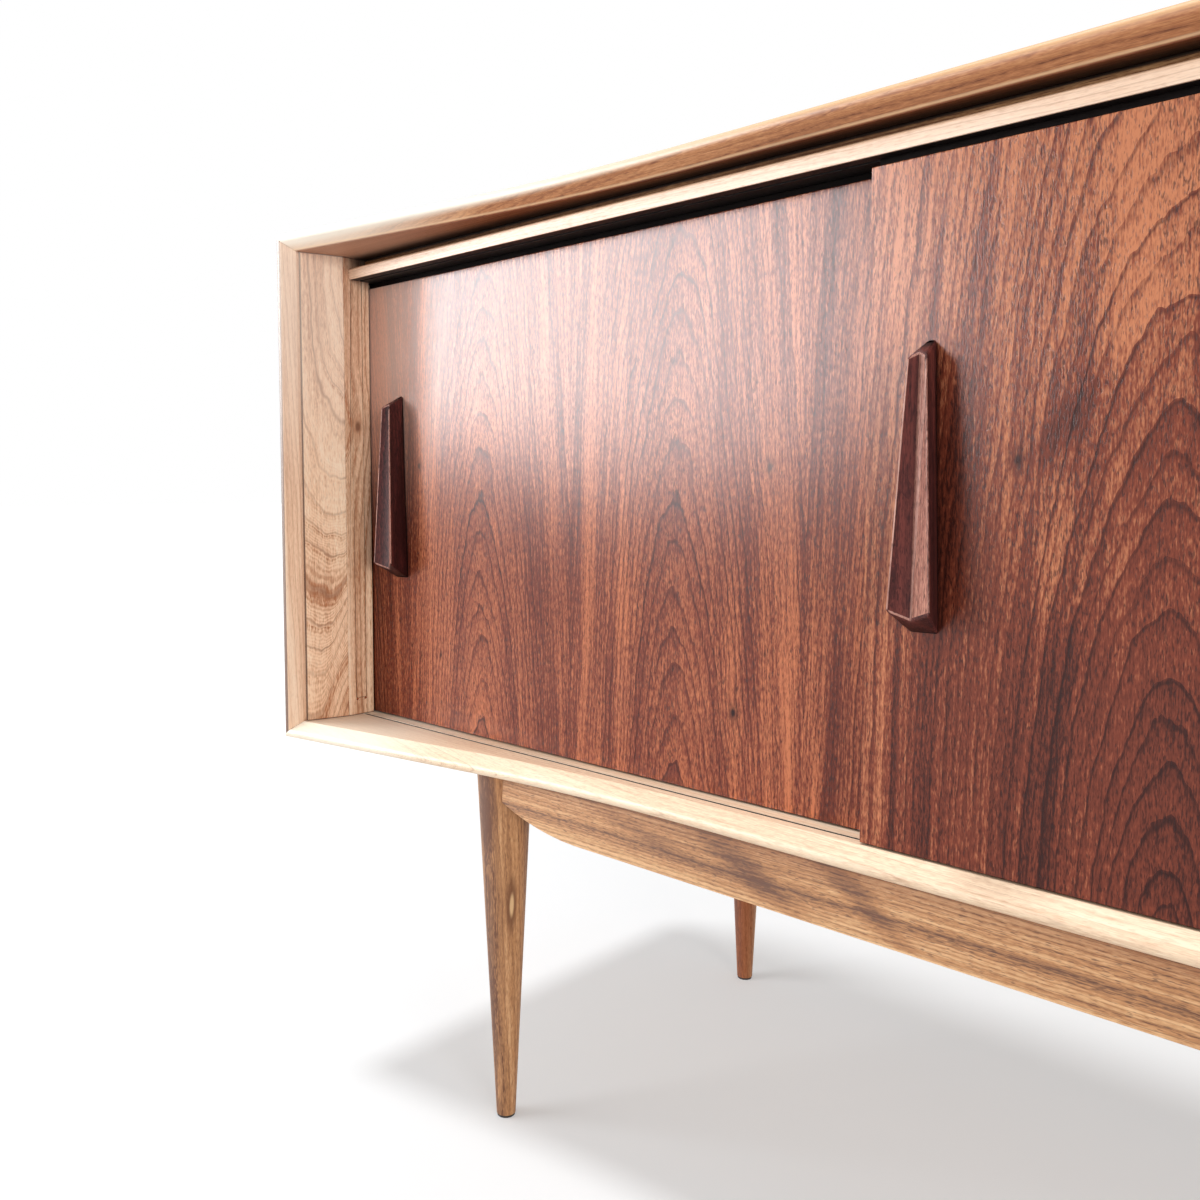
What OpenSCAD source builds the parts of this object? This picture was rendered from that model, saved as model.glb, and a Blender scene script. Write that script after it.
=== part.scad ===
// Sideboard with three sliding doors on a frame with four turned legs.
// Millimetres. +X runs to the right of a viewer who faces the doors, +Y to the back,
// +Z up. The origin is on the floor, under the middle of the case.

/* [Case] */
// Width of the case over its sides
case_w = 1650; // [1500:10:1900]
// Height of the case without the legs
case_h = 455; // [400:5:560]
// Depth of the case, from the front corners to the back edge
case_d = 448; // [420:2:520]
// Thickness of the top, bottom, sides and dividers
board_t = 15; // [14:0.5:20]
// Depth that the solid front members reach behind the front face of the side doors
member_back = 30; // [26:1:60]
// How far the front corners stand in front of the middle of the front edge
front_bow = 52; // [40:1:56]
// Angle of the front edge beside the corners, seen from above
bow_angle = 9.4; // [8:0.2:11]
// Radius of the bend between the straight middle and the straight ends of the front edge
bow_radius = 1370; // [900:10:1400]
// Distance from the middle of the front edge back to the front face of the side doors
nose_to_side_doors = 31; // [31:1:40]
// Depth of the bevel inside the front edge
bevel_d = 10; // [6:0.5:10]
// Radius of the round outer arris of the front edge
nose_r = 4.5; // [3:0.5:6]
// Depth of the housings that hold the dividers
housing_d = 4; // [2:0.5:6]
// Clearance round glued-in tenons, tongues and spigots
glue_clear = 0.1; // [0.05:0.05:0.2]

/* [Jambs] */
// Thickness of the jambs and splays inside each side
jamb_t = 12; // [9:0.5:16]
// How far the jamb's front edge stands in front of the side doors' face
jamb_front = 29; // [26:0.5:31]
// Distance of the splay's front edge behind the front corner of the case
splay_in = 15.5; // [15:0.5:30]
// Gap behind a jamb, in front of the side door
jamb_gap = 1; // [0.5:0.1:2]
// Diameter of the pins that hold the jambs
jamb_pin_d = 2; // [1.6:0.1:2.5]
// Length of the jamb pins
jamb_pin_l = 18; // [14:1:20]
// Distance of the lower jamb pins from the bottom of the jamb
jamb_pin_inset = 15; // [6:1:40]

/* [Doors] */
// Thickness of a door
door_t = 16; // [14:0.5:16]
// Gap between the two rows of doors
row_gap = 4; // [3:0.5:6]
// Width of the centre door
centre_door_w = 546; // [460:2:600]
// How far a side door reaches behind the centre door
door_overlap = 25; // [15:1:40]
// Gap between the end of a shut side door and the side of the case
door_end_gap = 2; // [1:0.5:6]
// Gap under a door
floor_gap = 1; // [0.5:0.1:2]
// Gap over a door, which lets it be lifted out of the lower groove
lift_gap = 5.5; // [5.5:0.5:6.5]
// Width of the grooves that guide the doors
groove_w = 3; // [3:0.5:5]
// Depth of the lower grooves
groove_d = 5; // [4:0.5:5]
// Depth of the upper grooves
track_groove_d = 8; // [8:0.5:9]
// Clearance between a groove and what runs in it, on each side
slide_clear = 0.2; // [0.1:0.05:0.4]
// Depth that a tongue and a glide are let into the door
let_in = 12; // [8:1:16]
// Length of a glide
glide_l = 60; // [40:5:90]
// Distance of a glide from the edge of the door
glide_inset = 45; // [30:5:80]
// Travel of a side door
side_travel = 240; // [100:5:240]
// Travel of the centre door to each side
centre_travel = 220; // [100:5:220]

/* [Upper track] */
// Height of the upper track
track_h = 10.5; // [10.5:0.5:14]
// Distance of the track's front edge in front of the side doors' face
track_front = 23; // [21:0.5:25]
// Radius of the track's upper front arris
track_r = 3; // [2:0.5:5]
// How far the track reaches behind the side doors
track_back = 8; // [5:1:10]
// Thickness of the packer between the track and the top
packer_h = 9.5; // [6:0.5:14]
// Distance of the packer's front face in front of the side doors' face
packer_front = 5; // [2:0.5:8]

/* [Handles] */
// Height of a handle's foot above the floor of the case
handle_low = 132; // [100:1:150]
// Length of a handle where it meets the door
handle_l = 165; // [120:1:200]
// Height that a handle stands off the door at its lower end
handle_low_h = 24; // [18:0.5:28]
// Height that a handle stands off the door at its upper end
handle_top_h = 18.8; // [14:0.5:22]
// Width of a handle's front at its lower end
handle_low_w = 26.4; // [20:0.2:30]
// Width of a handle's front at its upper end
handle_top_w = 11.6; // [8:0.2:18]
// Width of a handle's foot at its lower end
handle_foot_low_w = 18; // [12:0.2:22]
// Width of a handle's foot at its upper end
handle_foot_top_w = 5.6; // [5:0.2:12]
// Depth of the valley along a handle's front at its lower end
valley_low = 10.4; // [6:0.2:12]
// Depth of the valley along a handle's front at its upper end
valley_top = 6; // [3:0.2:8]
// Distance of a side door's handle from the jamb
side_handle_in = 47; // [40:1:80]
// Distance of a centre door's handle from the edge of that door
centre_handle_in = 39.5; // [32:0.5:80]
// Diameter of a handle screw
handle_screw_d = 3; // [2.5:0.5:3.5]
// Wood left between a handle screw and the valley in the handle
handle_screw_web = 0.8; // [0.5:0.1:4]

/* [Legs and frame] */
// Height of the underside of the case above the floor
leg_h = 300; // [200:5:360]
// Diameter of a leg under the case
leg_top_d = 46; // [38:1:46]
// Diameter of a leg at the floor
leg_foot_d = 16; // [12:0.5:20]
// Thickness of the glide under a leg
foot_glide_t = 2; // [1.5:0.5:4]
// Distance of the leg axes from the outer face of the case
leg_side_inset = 220; // [120:0.5:260]
// Distance of the front legs' axes behind the middle of the front edge
leg_front_inset = 23.5; // [23.5:0.5:40]
// Distance of the rear legs' axes in front of the back edge
leg_back_inset = 24; // [24:0.5:60]
// Diameter of the spigot on a leg
spigot_d = 20; // [16:1:24]
// Wood left between a leg's spigot and the door groove over it
spigot_web = 1.5; // [1:0.5:3]
// Thickness of the aprons and stretchers
rail_t = 20; // [16:1:22]
// Height of an apron between the legs
apron_h = 42; // [34:1:60]
// Height of an apron at a leg
apron_end_h = 28.5; // [24:0.5:34]
// Radius of the curve under each end of an apron
apron_curve_r = 232; // [150:2:300]
// How far the apron's face lies behind the front of the leg
apron_set_back = 6.7; // [4:0.1:9]
// Height of a stretcher between front and rear leg
stretcher_h = 28; // [22:1:40]
// Thickness of a tenon
tenon_t = 8; // [6:1:10]
// Space left between a tenon's tip and the tenon that crosses it
tenon_gap = 3; // [2:0.5:6]

/* [Inside] */
// Thickness of a shelf
shelf_t = 14; // [12:0.5:18]
// Height of the shelves' undersides above the floor of the case
shelf_z = 205; // [120:5:280]
// Distance of a shelf's front edge behind the side doors
shelf_set_back = 71; // [20:1:150]
// Gap between a shelf and the boards beside it
shelf_gap = 1; // [0.5:0.5:2]
// Diameter of a shelf pin
pin_d = 5; // [4:0.5:6]
// Wood left between the pins in the two faces of a divider
pin_web = 1; // [0.5:0.5:4]
// Thickness of the back panel
back_t = 6; // [4:0.5:9]
// Width of the rebate that holds the back panel
rebate_w = 8; // [6:0.5:10]
// Diameter of a back screw's shank
back_screw_d = 3; // [2.5:0.5:3.5]
// Length of a back screw
back_screw_l = 18; // [14:1:25]

/* [Hidden] */
$fn = 64;

// Colours
elm = "burlywood";
elm_dark = "tan";
walnut = "saddlebrown";
walnut_dark = "#3b2320";
ply = "wheat";
steel = "silver";
nylon = "#2a2725";

// Main planes
x_out = case_w / 2;
x_in = x_out - board_t;
x_open = x_in - jamb_t;
y_front = -case_d / 2;
y_back = case_d / 2;
y_nose = y_front + front_bow;
y_side = y_nose + nose_to_side_doors;
y_centre = y_side - row_gap - door_t;
y_member = y_side + member_back;
z_base = leg_h;
z_floor = z_base + board_t;
z_top = z_base + case_h;
z_ceiling = z_top - board_t;
z_track = z_ceiling - track_h - packer_h;

// Front edge in section
nose_crease = 10;

// Front edge in plan: a straight middle, a bend and a straight end on each side
bend_sink = 0.15;
bow_rise = bow_radius * (1 - cos(bow_angle));
bow_run = bow_radius * sin(bow_angle);
end_run = (front_bow - bow_rise) / tan(bow_angle);
x_bend_out = x_out - end_run;
x_bend_in = x_bend_out - bow_run;

// Doors
door_z = z_floor + floor_gap;
door_h = z_track - lift_gap - door_z;
jamb_cover = jamb_t - door_end_gap;
side_door_w = (2 * x_open - centre_door_w) / 2 + door_overlap + jamb_cover;
slip = groove_w - 2 * slide_clear;
left_door_x = -x_open - jamb_cover;
right_door_x = x_open + jamb_cover - side_door_w;
jamb_pin_gap = 9;
y_side_groove = y_side + door_t / 2;
y_centre_groove = y_centre + door_t / 2;
tongue_h = track_groove_d - slide_clear;
tongue_end = 2;

// Legs and frame
leg_x = x_out - leg_side_inset;
leg_y_front = y_nose + leg_front_inset;
leg_y_back = y_back - leg_back_inset;
leg_l = leg_h - foot_glide_t;
spigot_h = board_t - groove_d - spigot_web;
apron_y_front = leg_y_front - leg_top_d / 2 + apron_set_back;
apron_y_back = leg_y_back + leg_top_d / 2 - apron_set_back - rail_t;
tenon_l = (leg_top_d - tenon_t) / 2 - tenon_gap;
apron_tenon_h = 11.25;
curve_lap = 10;
curve_sink = 0.05;
cleat_w = 16;
cleat_l = 500;
cleat_screw_d = 4;
cleat_screw_x = 180;
cleat_screw_in = 9;
front_cleat_y = apron_y_front + rail_t + cleat_w / 2;
back_cleat_y = apron_y_back - cleat_w / 2;
back_screw_in = 50;
foot_pin_d = 3;
foot_pin_l = 12;

// Handles
foot_shift = 0.09;
valley_shift = 0.12;
end_slope = 0.56;
handle_screw_low = 34;
handle_screw_top = 40;
handle_screw_in = min(handle_low_h - valley_low, handle_top_h - valley_top) - handle_screw_web;
side_handle_x = x_open - side_handle_in;
centre_handle_x = centre_door_w / 2 - centre_handle_in;

// Inside
divider_cover = 8;
divider_x = (centre_door_w - board_t) / 2 - divider_cover;
y_inside_back = y_back - back_t;
shelf_y = [y_side + door_t + shelf_set_back, y_inside_back - 2 * shelf_gap];
side_bay = [divider_x + board_t / 2, x_in];
pin_l = board_t - pin_web;
pin_in = 35;
pin_y = [shelf_y[0] + pin_in, shelf_y[1] - pin_in];

// ---- shared shapes ----

// Box between two corners
module block(low, high) {
    translate(low)
        cube(high - low);
}

// The child as drawn for side 1, or mirrored to the left for side -1
module on_side(side) {
    if (side < 0)
        mirror([1, 0, 0])
            children();
    else
        children();
}

// A profile drawn as (y, z), run along X
module run_x(length) {
    rotate([90, 0, 90])
        linear_extrude(length)
            children();
}

// A profile drawn as (x, z), run from y_low to y_high
module run_y(y_low, y_high) {
    translate([0, y_high, 0])
        rotate([90, 0, 0])
            linear_extrude(y_high - y_low)
                children();
}

// Where a line from p touches a circle of radius r about c, on the far left of that line
function touch(p, c, r) =
    let (d = p - c, turn = atan2(d.y, d.x) + acos(r / norm(d)))
    c + r * [cos(turn), sin(turn)];

// Front edge in section: first coordinate is the depth behind the nose, second the height
// under the inner face. A bevel runs from the inner face to a round outer arris. It meets
// the round, and the round meets the outer face, at the small angle nose_crease. The
// section reaches past the outer face, where the board's own section ends it.
module front_profile(depth, lean) {
    r_flat = nose_r * cos(nose_crease);
    c = [nose_r + lean * nose_r, r_flat - board_t];
    p = [bevel_d / cos(bow_angle) + lean * board_t, 0];
    union() {
        polygon([p, touch(p, c, r_flat), c, [c.x, -board_t - 1], [depth, -board_t - 1], [depth, 0]]);
        translate(c)
            circle(r = nose_r);
    }
}

// The bevelled front, with the middle of its nose at the origin and its inner face at
// z = 0: a straight middle, straight ends and a bend between them. They overlap, and the
// bend sinks into both its neighbours, so that the front is one solid.
module front_run() {
    depth = case_d;
    lap = 0.6 * bow_run;
    translate([-x_bend_in - lap, 0, 0])
        run_x(2 * (x_bend_in + lap))
            front_profile(depth, 0);
    for (side = [-1, 1])
        on_side(side) {
            translate([x_bend_in, -bow_radius, 0])
                rotate_extrude(angle = bow_angle, start = 90 - bow_angle, $fn = 720)
                    translate([bow_radius + bend_sink, 0])
                        front_profile(depth, 0);
            translate([x_bend_out, -bow_rise, 0])
                rotate([0, 0, -bow_angle])
                    translate([-lap, 0, 0])
                        run_x(lap + end_run + depth)
                            front_profile(depth, 0);
        }
}

// Section of the bottom board (x, z): its ends are mitred to the sides
module bottom_section() {
    polygon([[-x_out, z_base], [x_out, z_base], [x_in, z_floor], [-x_in, z_floor]]);
}

// Section of the top board (x, z)
module top_section() {
    polygon([[-x_out, z_top], [x_out, z_top], [x_in, z_ceiling], [-x_in, z_ceiling]]);
}

// Section of the right side (x, z)
module side_section() {
    polygon([[x_out, z_base], [x_out, z_top], [x_in, z_ceiling], [x_in, z_floor]]);
}

// Rebate round the back edges, for the back panel
module back_recess() {
    block([-x_in - rebate_w, y_inside_back, z_floor - rebate_w],
          [x_in + rebate_w, y_back + 1, z_ceiling + rebate_w]);
}

// Both dividers, made larger by grow on each side
module divider_pair(grow) {
    for (side = [-1, 1])
        translate([side * divider_x, 0, 0])
            block([-board_t / 2 - grow, y_member, z_floor - housing_d - grow],
                  [board_t / 2 + grow, y_inside_back, z_ceiling + housing_d + grow]);
}

// ---- case ----

module top_front_member() {
    color(elm)
        intersection() {
            translate([0, y_nose, z_ceiling])
                mirror([0, 0, 1])
                    front_run();
            run_y(y_front - 10, y_member)
                top_section();
        }
}

module bottom_front_member() {
    color(elm)
        difference() {
            intersection() {
                translate([0, y_nose, z_floor])
                    front_run();
                run_y(y_front - 10, y_member)
                    bottom_section();
            }
            door_groove(y_centre_groove, x_open);
            door_groove(y_side_groove, x_in);
            for (side = [-1, 1])
                spigot_bore(side * leg_x, leg_y_front);
            cleat_holes(front_cleat_y);
        }
}

// Lower groove of one row of doors
module door_groove(y, reach) {
    block([-reach, y - groove_w / 2, z_floor - groove_d], [reach, y + groove_w / 2, z_floor + 1]);
}

module spigot_bore(x, y) {
    translate([x, y, z_base - 1])
        cylinder(d = spigot_d + 2 * glue_clear, h = spigot_h + 1 + glue_clear);
}

module front_stile(side) {
    color(elm)
        difference() {
            on_side(side)
                intersection() {
                    translate([0, 0, z_base])
                        linear_extrude(case_h)
                            translate([x_in, y_front])
                                rotate(90)
                                    front_profile(y_member - y_front, tan(bow_angle));
                    run_y(y_front - 10, y_member)
                        side_section();
                }
            jamb_pin_holes();
        }
}

module left_front_stile() {
    front_stile(-1);
}

module right_front_stile() {
    front_stile(1);
}

module top_panel() {
    color(elm)
        difference() {
            run_y(y_member, y_back)
                top_section();
            back_recess();
            divider_pair(glue_clear);
            back_screw_holes();
        }
}

module bottom_panel() {
    color(elm)
        difference() {
            run_y(y_member, y_back)
                bottom_section();
            back_recess();
            divider_pair(glue_clear);
            for (side = [-1, 1])
                spigot_bore(side * leg_x, leg_y_back);
            cleat_holes(back_cleat_y);
            back_screw_holes();
        }
}

module side_panel(side) {
    color(elm)
        difference() {
            on_side(side)
                run_y(y_member, y_back)
                    side_section();
            back_recess();
            shelf_pin_set(glue_clear);
            back_screw_holes();
        }
}

module left_side_panel() {
    side_panel(-1);
}

module right_side_panel() {
    side_panel(1);
}

module back_panel() {
    edge = rebate_w - glue_clear;
    color(ply)
        difference() {
            block([-x_in - edge, y_inside_back, z_floor - edge], [x_in + edge, y_back, z_ceiling + edge]);
            back_screw_holes();
        }
}

module back_screw_holes() {
    back_screw_set(glue_clear);
}

// Countersunk screws round the back panel, made larger by grow
module back_screw_set(grow) {
    edge = rebate_w / 2;
    head_d = 2 * back_screw_d;
    z_mid = (z_floor + z_ceiling) / 2;
    z_step = (z_ceiling - z_floor) / 2 - back_screw_in;
    x_step = (x_in - back_screw_in) / 2;
    places = concat(
        [for (side = [-1, 1], k = [-1 : 1]) [side * (x_in + edge), z_mid + k * z_step]],
        [for (z = [z_floor - edge, z_ceiling + edge], k = [-2 : 2]) [k * x_step, z]]
    );
    for (p = places)
        translate([p.x, y_back, p.y])
            rotate([90, 0, 0]) {
                cylinder(d = back_screw_d + 2 * grow, h = back_screw_l + grow);
                cylinder(d1 = head_d + 2 * grow, d2 = back_screw_d + 2 * grow, h = back_screw_d / 2);
            }
}

module back_screws() {
    color(steel)
        back_screw_set(0);
}

// ---- jambs and splays ----

module splay(side) {
    lip = 1.5;
    color(elm)
        on_side(side)
            translate([0, 0, z_floor])
                linear_extrude(z_ceiling - z_floor)
                    polygon([
                        [x_in, y_front + splay_in],
                        [x_in, y_side - jamb_front],
                        [x_open, y_side - jamb_front],
                        [x_in - lip, y_front + splay_in]
                    ]);
}

module left_splay() {
    splay(-1);
}

module right_splay() {
    splay(1);
}

module jamb(side) {
    color(elm)
        difference() {
            on_side(side)
                block([x_open, y_side - jamb_front, z_floor], [x_in, y_side - jamb_gap, z_ceiling]);
            jamb_pin_holes();
        }
}

module left_jamb() {
    jamb(-1);
}

module right_jamb() {
    jamb(1);
}

module jamb_pin_holes() {
    jamb_pin_set(glue_clear);
}

// Two pins near the bottom of each jamb and two behind the end of the track, made larger by grow
module jamb_pin_set(grow) {
    y_low = y_side - (jamb_front + jamb_gap) / 2 - jamb_pin_gap / 2;
    for (side = [-1, 1])
        for (z = [z_floor + jamb_pin_inset, z_track + track_h / 2])
            for (y = [y_low, y_low + jamb_pin_gap])
                translate([side * (x_open - grow), y, z])
                    rotate([0, side * 90, 0])
                        cylinder(d = jamb_pin_d + 2 * grow, h = jamb_pin_l + 2 * grow);
}

module jamb_pins() {
    color(walnut_dark)
        jamb_pin_set(0);
}

// ---- upper track ----

module upper_track() {
    y_low = y_side - track_front;
    y_jamb = y_side - jamb_gap;
    y_high = y_side + door_t + track_back;
    z_high = z_track + track_h;
    color(elm)
        difference() {
            union() {
                translate([-x_open, 0, 0])
                    run_x(2 * x_open)
                        track_nosing(y_low, y_jamb, z_high);
                block([-x_in, y_jamb, z_track], [x_in, y_high, z_high]);
            }
            track_groove(y_centre_groove, x_open);
            track_groove(y_side_groove, x_in);
        }
}

// Section (y, z) of the track in front of the jambs, with its round upper arris
module track_nosing(y_low, y_high, z_high) {
    polygon([
        [y_low, z_track], [y_high, z_track], [y_high, z_high],
        [y_low + track_r, z_high], [y_low + track_r, z_high - track_r], [y_low, z_high - track_r]
    ]);
    translate([y_low + track_r, z_high - track_r])
        circle(r = track_r);
}

module track_groove(y, reach) {
    block([-reach, y - groove_w / 2, z_track - 1], [reach, y + groove_w / 2, z_track + track_groove_d]);
}

module track_packer() {
    color(elm)
        block([-x_open, y_side - packer_front, z_track + track_h],
              [x_open, y_side + door_t + track_back, z_ceiling]);
}

// ---- dividers and shelves ----

module divider(side) {
    color(elm)
        difference() {
            intersection() {
                divider_pair(0);
                on_side(side)
                    block([0, y_front, 0], [x_out, y_back, z_top]);
            }
            shelf_pin_set(glue_clear);
        }
}

module left_divider() {
    divider(-1);
}

module right_divider() {
    divider(1);
}

module shelf(x_low, x_high) {
    color(elm)
        block([x_low + shelf_gap, shelf_y[0], z_floor + shelf_z],
              [x_high - shelf_gap, shelf_y[1], z_floor + shelf_z + shelf_t]);
}

module left_shelf() {
    shelf(-side_bay[1], -side_bay[0]);
}

module centre_shelf() {
    shelf(-divider_x + board_t / 2, divider_x - board_t / 2);
}

module right_shelf() {
    shelf(side_bay[0], side_bay[1]);
}

// Four pins under each shelf, half in the board beside it, made larger by grow
module shelf_pin_set(grow) {
    faces = [side_bay[1], side_bay[0], divider_x - board_t / 2];
    for (side = [-1, 1])
        for (x = faces)
            for (y = pin_y)
                translate([side * x, y, z_floor + shelf_z - pin_d / 2])
                    rotate([0, 90, 0])
                        cylinder(d = pin_d + 2 * grow, h = pin_l + 2 * grow, center = true);
}

module shelf_pins() {
    color(steel)
        shelf_pin_set(0);
}

// ---- legs and frame ----

// Taper of a leg from the floor glide to the case, about its own axis
module leg_taper() {
    translate([0, 0, foot_glide_t])
        cylinder(d1 = leg_foot_d, d2 = leg_top_d, h = leg_l);
}

module leg(x, y) {
    color(elm_dark)
        difference() {
            translate([x, y, 0]) {
                leg_taper();
                translate([0, 0, leg_h - 1])
                    cylinder(d = spigot_d, h = spigot_h + 1);
            }
            translate([x, y, foot_glide_t - 1])
                cylinder(d = foot_pin_d + 2 * glue_clear, h = foot_pin_l + 1 + glue_clear);
            apron_tenons(apron_y_front, glue_clear);
            apron_tenons(apron_y_back, glue_clear);
            for (side = [-1, 1])
                stretcher_tenons(side, glue_clear);
        }
}

module front_left_leg() {
    leg(-leg_x, leg_y_front);
}

module front_right_leg() {
    leg(leg_x, leg_y_front);
}

module rear_left_leg() {
    leg(-leg_x, leg_y_back);
}

module rear_right_leg() {
    leg(leg_x, leg_y_back);
}

module foot_glides() {
    color(nylon)
        for (x = [-leg_x, leg_x], y = [leg_y_front, leg_y_back])
            translate([x, y, 0]) {
                cylinder(d = leg_foot_d - 1, h = foot_glide_t);
                cylinder(d = foot_pin_d, h = foot_glide_t + foot_pin_l);
            }
}

// Face of an apron (x, z), with a curve under each end that meets the straight edge at a
// very small angle
module apron_face() {
    rise = apron_h - apron_end_h;
    curve_run = sqrt(2 * apron_curve_r * rise - rise * rise);
    x_curve = leg_x - leg_top_d / 2 - curve_run;
    z_low = z_base - apron_h;
    translate([-x_curve, z_low])
        square([2 * x_curve, apron_h]);
    for (side = [0, 1])
        mirror([side, 0])
            intersection() {
                translate([x_curve - curve_lap, z_low])
                    square([leg_x - x_curve + curve_lap, apron_h]);
                translate([x_curve, z_low + apron_curve_r - curve_sink])
                    circle(r = apron_curve_r, $fn = 360);
            }
}

// Both tenons of the apron whose front face is at y, made larger by grow
module apron_tenons(y, grow) {
    x_face = leg_x - leg_top_d / 2;
    z_mid = z_base - apron_end_h / 2;
    half = apron_tenon_h / 2 + grow;
    for (side = [-1, 1])
        on_side(side)
            block([x_face - 1, y + (rail_t - tenon_t) / 2 - grow, z_mid - half],
                  [x_face + tenon_l + grow, y + (rail_t + tenon_t) / 2 + grow, z_mid + half]);
}

module apron(y) {
    color(elm_dark)
        union() {
            difference() {
                run_y(y, y + rail_t)
                    apron_face();
                for (x = [-leg_x, leg_x], leg_y = [leg_y_front, leg_y_back])
                    translate([x, leg_y, 0])
                        leg_taper();
            }
            apron_tenons(y, 0);
        }
}

module front_apron() {
    apron(apron_y_front);
}

module rear_apron() {
    apron(apron_y_back);
}

// Tenons of the stretcher on one side, made larger by grow
module stretcher_tenons(side, grow) {
    z_mid = z_base - stretcher_h / 2;
    tall = stretcher_h / 2;
    y_low = leg_y_front + leg_top_d / 2;
    y_high = leg_y_back - leg_top_d / 2;
    for (end = [[y_low - tenon_l - grow, y_low + 1], [y_high - 1, y_high + tenon_l + grow]])
        translate([side * leg_x, 0, 0])
            block([-tenon_t / 2 - grow, end[0], z_mid - tall / 2 - grow],
                  [tenon_t / 2 + grow, end[1], z_mid + tall / 2 + grow]);
}

module stretcher(side) {
    color(elm_dark)
        union() {
            difference() {
                translate([side * leg_x, 0, 0])
                    block([-rail_t / 2, leg_y_front, z_base - stretcher_h],
                          [rail_t / 2, leg_y_back, z_base]);
                for (leg_y = [leg_y_front, leg_y_back])
                    translate([side * leg_x, leg_y, 0])
                        leg_taper();
            }
            stretcher_tenons(side, 0);
        }
}

module left_stretcher() {
    stretcher(-1);
}

module right_stretcher() {
    stretcher(1);
}

module frame_cleats() {
    color(elm_dark)
        difference() {
            for (y = [front_cleat_y, back_cleat_y])
                block([-cleat_l / 2, y - cleat_w / 2, z_base - cleat_w],
                      [cleat_l / 2, y + cleat_w / 2, z_base]);
            for (y = [front_cleat_y, back_cleat_y])
                cleat_holes(y);
        }
}

module cleat_holes(y) {
    cleat_screw_row(y, glue_clear);
}

// Screws up through one cleat into the case, made larger by grow
module cleat_screw_row(y, grow) {
    long = cleat_w + cleat_screw_in;
    for (x = [-cleat_screw_x, 0, cleat_screw_x])
        translate([x, y, z_base - cleat_w]) {
            cylinder(d = cleat_screw_d + 2 * grow, h = long + grow);
            cylinder(d1 = 2 * cleat_screw_d + 2 * grow, d2 = cleat_screw_d + 2 * grow,
                     h = cleat_screw_d / 2);
        }
}

module cleat_screws() {
    color(steel)
        for (y = [front_cleat_y, back_cleat_y])
            cleat_screw_row(y, 0);
}

// ---- doors ----

// A door from x_low, its front face at y, drilled for the handles at handle_xs
module door(x_low, width, y, handle_xs) {
    color(walnut)
        difference() {
            block([x_low, y, door_z], [x_low + width, y + door_t, door_z + door_h]);
            door_tongue_at(x_low, width, y, glue_clear);
            door_glides_at(x_low, width, y, glue_clear);
            for (x = handle_xs)
                handle_screw_pair(x, y, glue_clear);
        }
}

// Tongue let into the top edge of a door
module door_tongue_at(x_low, width, y, grow) {
    z = door_z + door_h;
    middle = y + door_t / 2;
    block([x_low + tongue_end - grow, middle - slip / 2 - grow, z - let_in - grow],
          [x_low + width - tongue_end + grow, middle + slip / 2 + grow, z + tongue_h]);
}

// Two glides let into the bottom edge of a door
module door_glides_at(x_low, width, y, grow) {
    middle = y + door_t / 2;
    z_low = z_floor - groove_d + slide_clear;
    for (x = [x_low + glide_inset, x_low + width - glide_inset - glide_l])
        block([x - grow, middle - slip / 2 - grow, z_low],
              [x + glide_l + grow, middle + slip / 2 + grow, door_z + let_in + grow]);
}

// Handle about its own middle: (x, z), standing off the door towards -Y.
// The section has a foot, two front edges and a valley between them.
module handle_solid() {
    function section(foot_w, front_w, high, valley, z, slope) =
        let (shift = foot_shift * foot_w, deep = high - valley)
        [
            [-foot_w / 2 - shift, 0, z],
            [-front_w / 2, -high, z + slope * high],
            [-valley_shift * front_w, -deep, z + slope * deep],
            [front_w / 2, -high, z + slope * high],
            [foot_w / 2 - shift, 0, z]
        ];
    low = section(handle_foot_low_w, handle_low_w, handle_low_h, valley_low, 0, end_slope);
    top = section(handle_foot_top_w, handle_top_w, handle_top_h, valley_top, handle_l, -end_slope);
    n = len(low);
    flanks = [for (k = [0 : n - 1]) [k, (k + 1) % n, (k + 1) % n + n, k + n]];
    polyhedron(
        points = concat(low, top),
        faces = concat(
            [[4, 3, 2, 1, 0], [5, 6, 7, 8, 9]],
            [for (q = flanks) [q[0], q[1], q[2]]],
            [for (q = flanks) [q[0], q[2], q[3]]]
        ),
        convexity = 4
    );
}

// A handle at x on the face y of a door, leaning as on side 1 or mirrored on side -1
module handle(x, y, side) {
    color(walnut_dark)
        difference() {
            translate([x, y, z_floor + handle_low])
                on_side(side)
                    handle_solid();
            handle_screw_pair(x, y, glue_clear);
        }
}

// Two screws through a door into the handle at x, made larger by grow
module handle_screw_pair(x, y, grow) {
    for (z = [handle_screw_low, handle_l - handle_screw_top])
        translate([x, y + door_t, z_floor + handle_low + z])
            rotate([90, 0, 0]) {
                cylinder(d = handle_screw_d + 2 * grow, h = door_t + handle_screw_in + grow);
                cylinder(d1 = 2 * handle_screw_d + 2 * grow, d2 = handle_screw_d + 2 * grow,
                         h = handle_screw_d / 2);
            }
}

module door_tongue(x_low, width, y) {
    color(elm)
        door_tongue_at(x_low, width, y, 0);
}

module door_glides(x_low, width, y) {
    color(nylon)
        door_glides_at(x_low, width, y, 0);
}

module handle_screws(xs, y) {
    color(steel)
        for (x = xs)
            handle_screw_pair(x, y, 0);
}

module left_door() {
    door(left_door_x, side_door_w, y_side, [-side_handle_x]);
}

module left_door_tongue() {
    door_tongue(left_door_x, side_door_w, y_side);
}

module left_door_glides() {
    door_glides(left_door_x, side_door_w, y_side);
}

module left_handle() {
    handle(-side_handle_x, y_side, 1);
}

module left_handle_screws() {
    handle_screws([-side_handle_x], y_side);
}

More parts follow.
